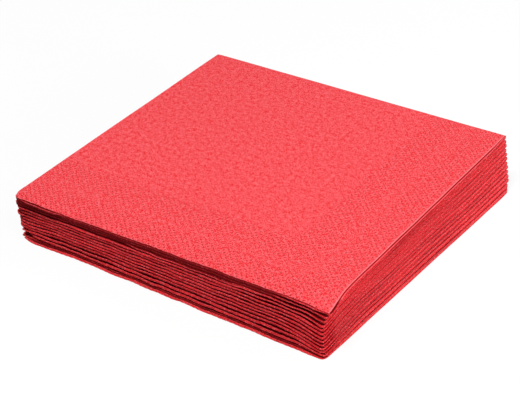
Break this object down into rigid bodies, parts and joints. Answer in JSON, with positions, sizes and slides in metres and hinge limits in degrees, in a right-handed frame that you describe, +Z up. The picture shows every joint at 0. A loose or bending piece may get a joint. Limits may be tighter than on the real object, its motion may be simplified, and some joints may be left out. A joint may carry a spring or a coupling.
{
  "type": "stack of folded paper napkins",
  "caption": "Low square pile of red tissue napkins, each folded twice into a quarter, lying loosely on one another with their open edges at the front and right.",
  "frame": {"origin": "middle of the footprint, on the surface that the pile rests on", "axes": "+Z up through the pile; +X from the first folds towards the open right edges; +Y from the open front edges towards the second folds at the back"},
  "size_m": [0.1702, 0.1698, 0.0278],
  "materials": {
    "tissue": "matte"
  },
  "bodies": {
    "root": {"napkin_01": "tissue", "napkin_02": "tissue", "napkin_03": "tissue", "napkin_04": "tissue", "napkin_05": "tissue", "napkin_06": "tissue", "napkin_07": "tissue", "napkin_08": "tissue", "napkin_09": "tissue", "napkin_10": "tissue", "napkin_11": "tissue", "napkin_12": "tissue", "napkin_13": "tissue"}
  },
  "joints": []
}
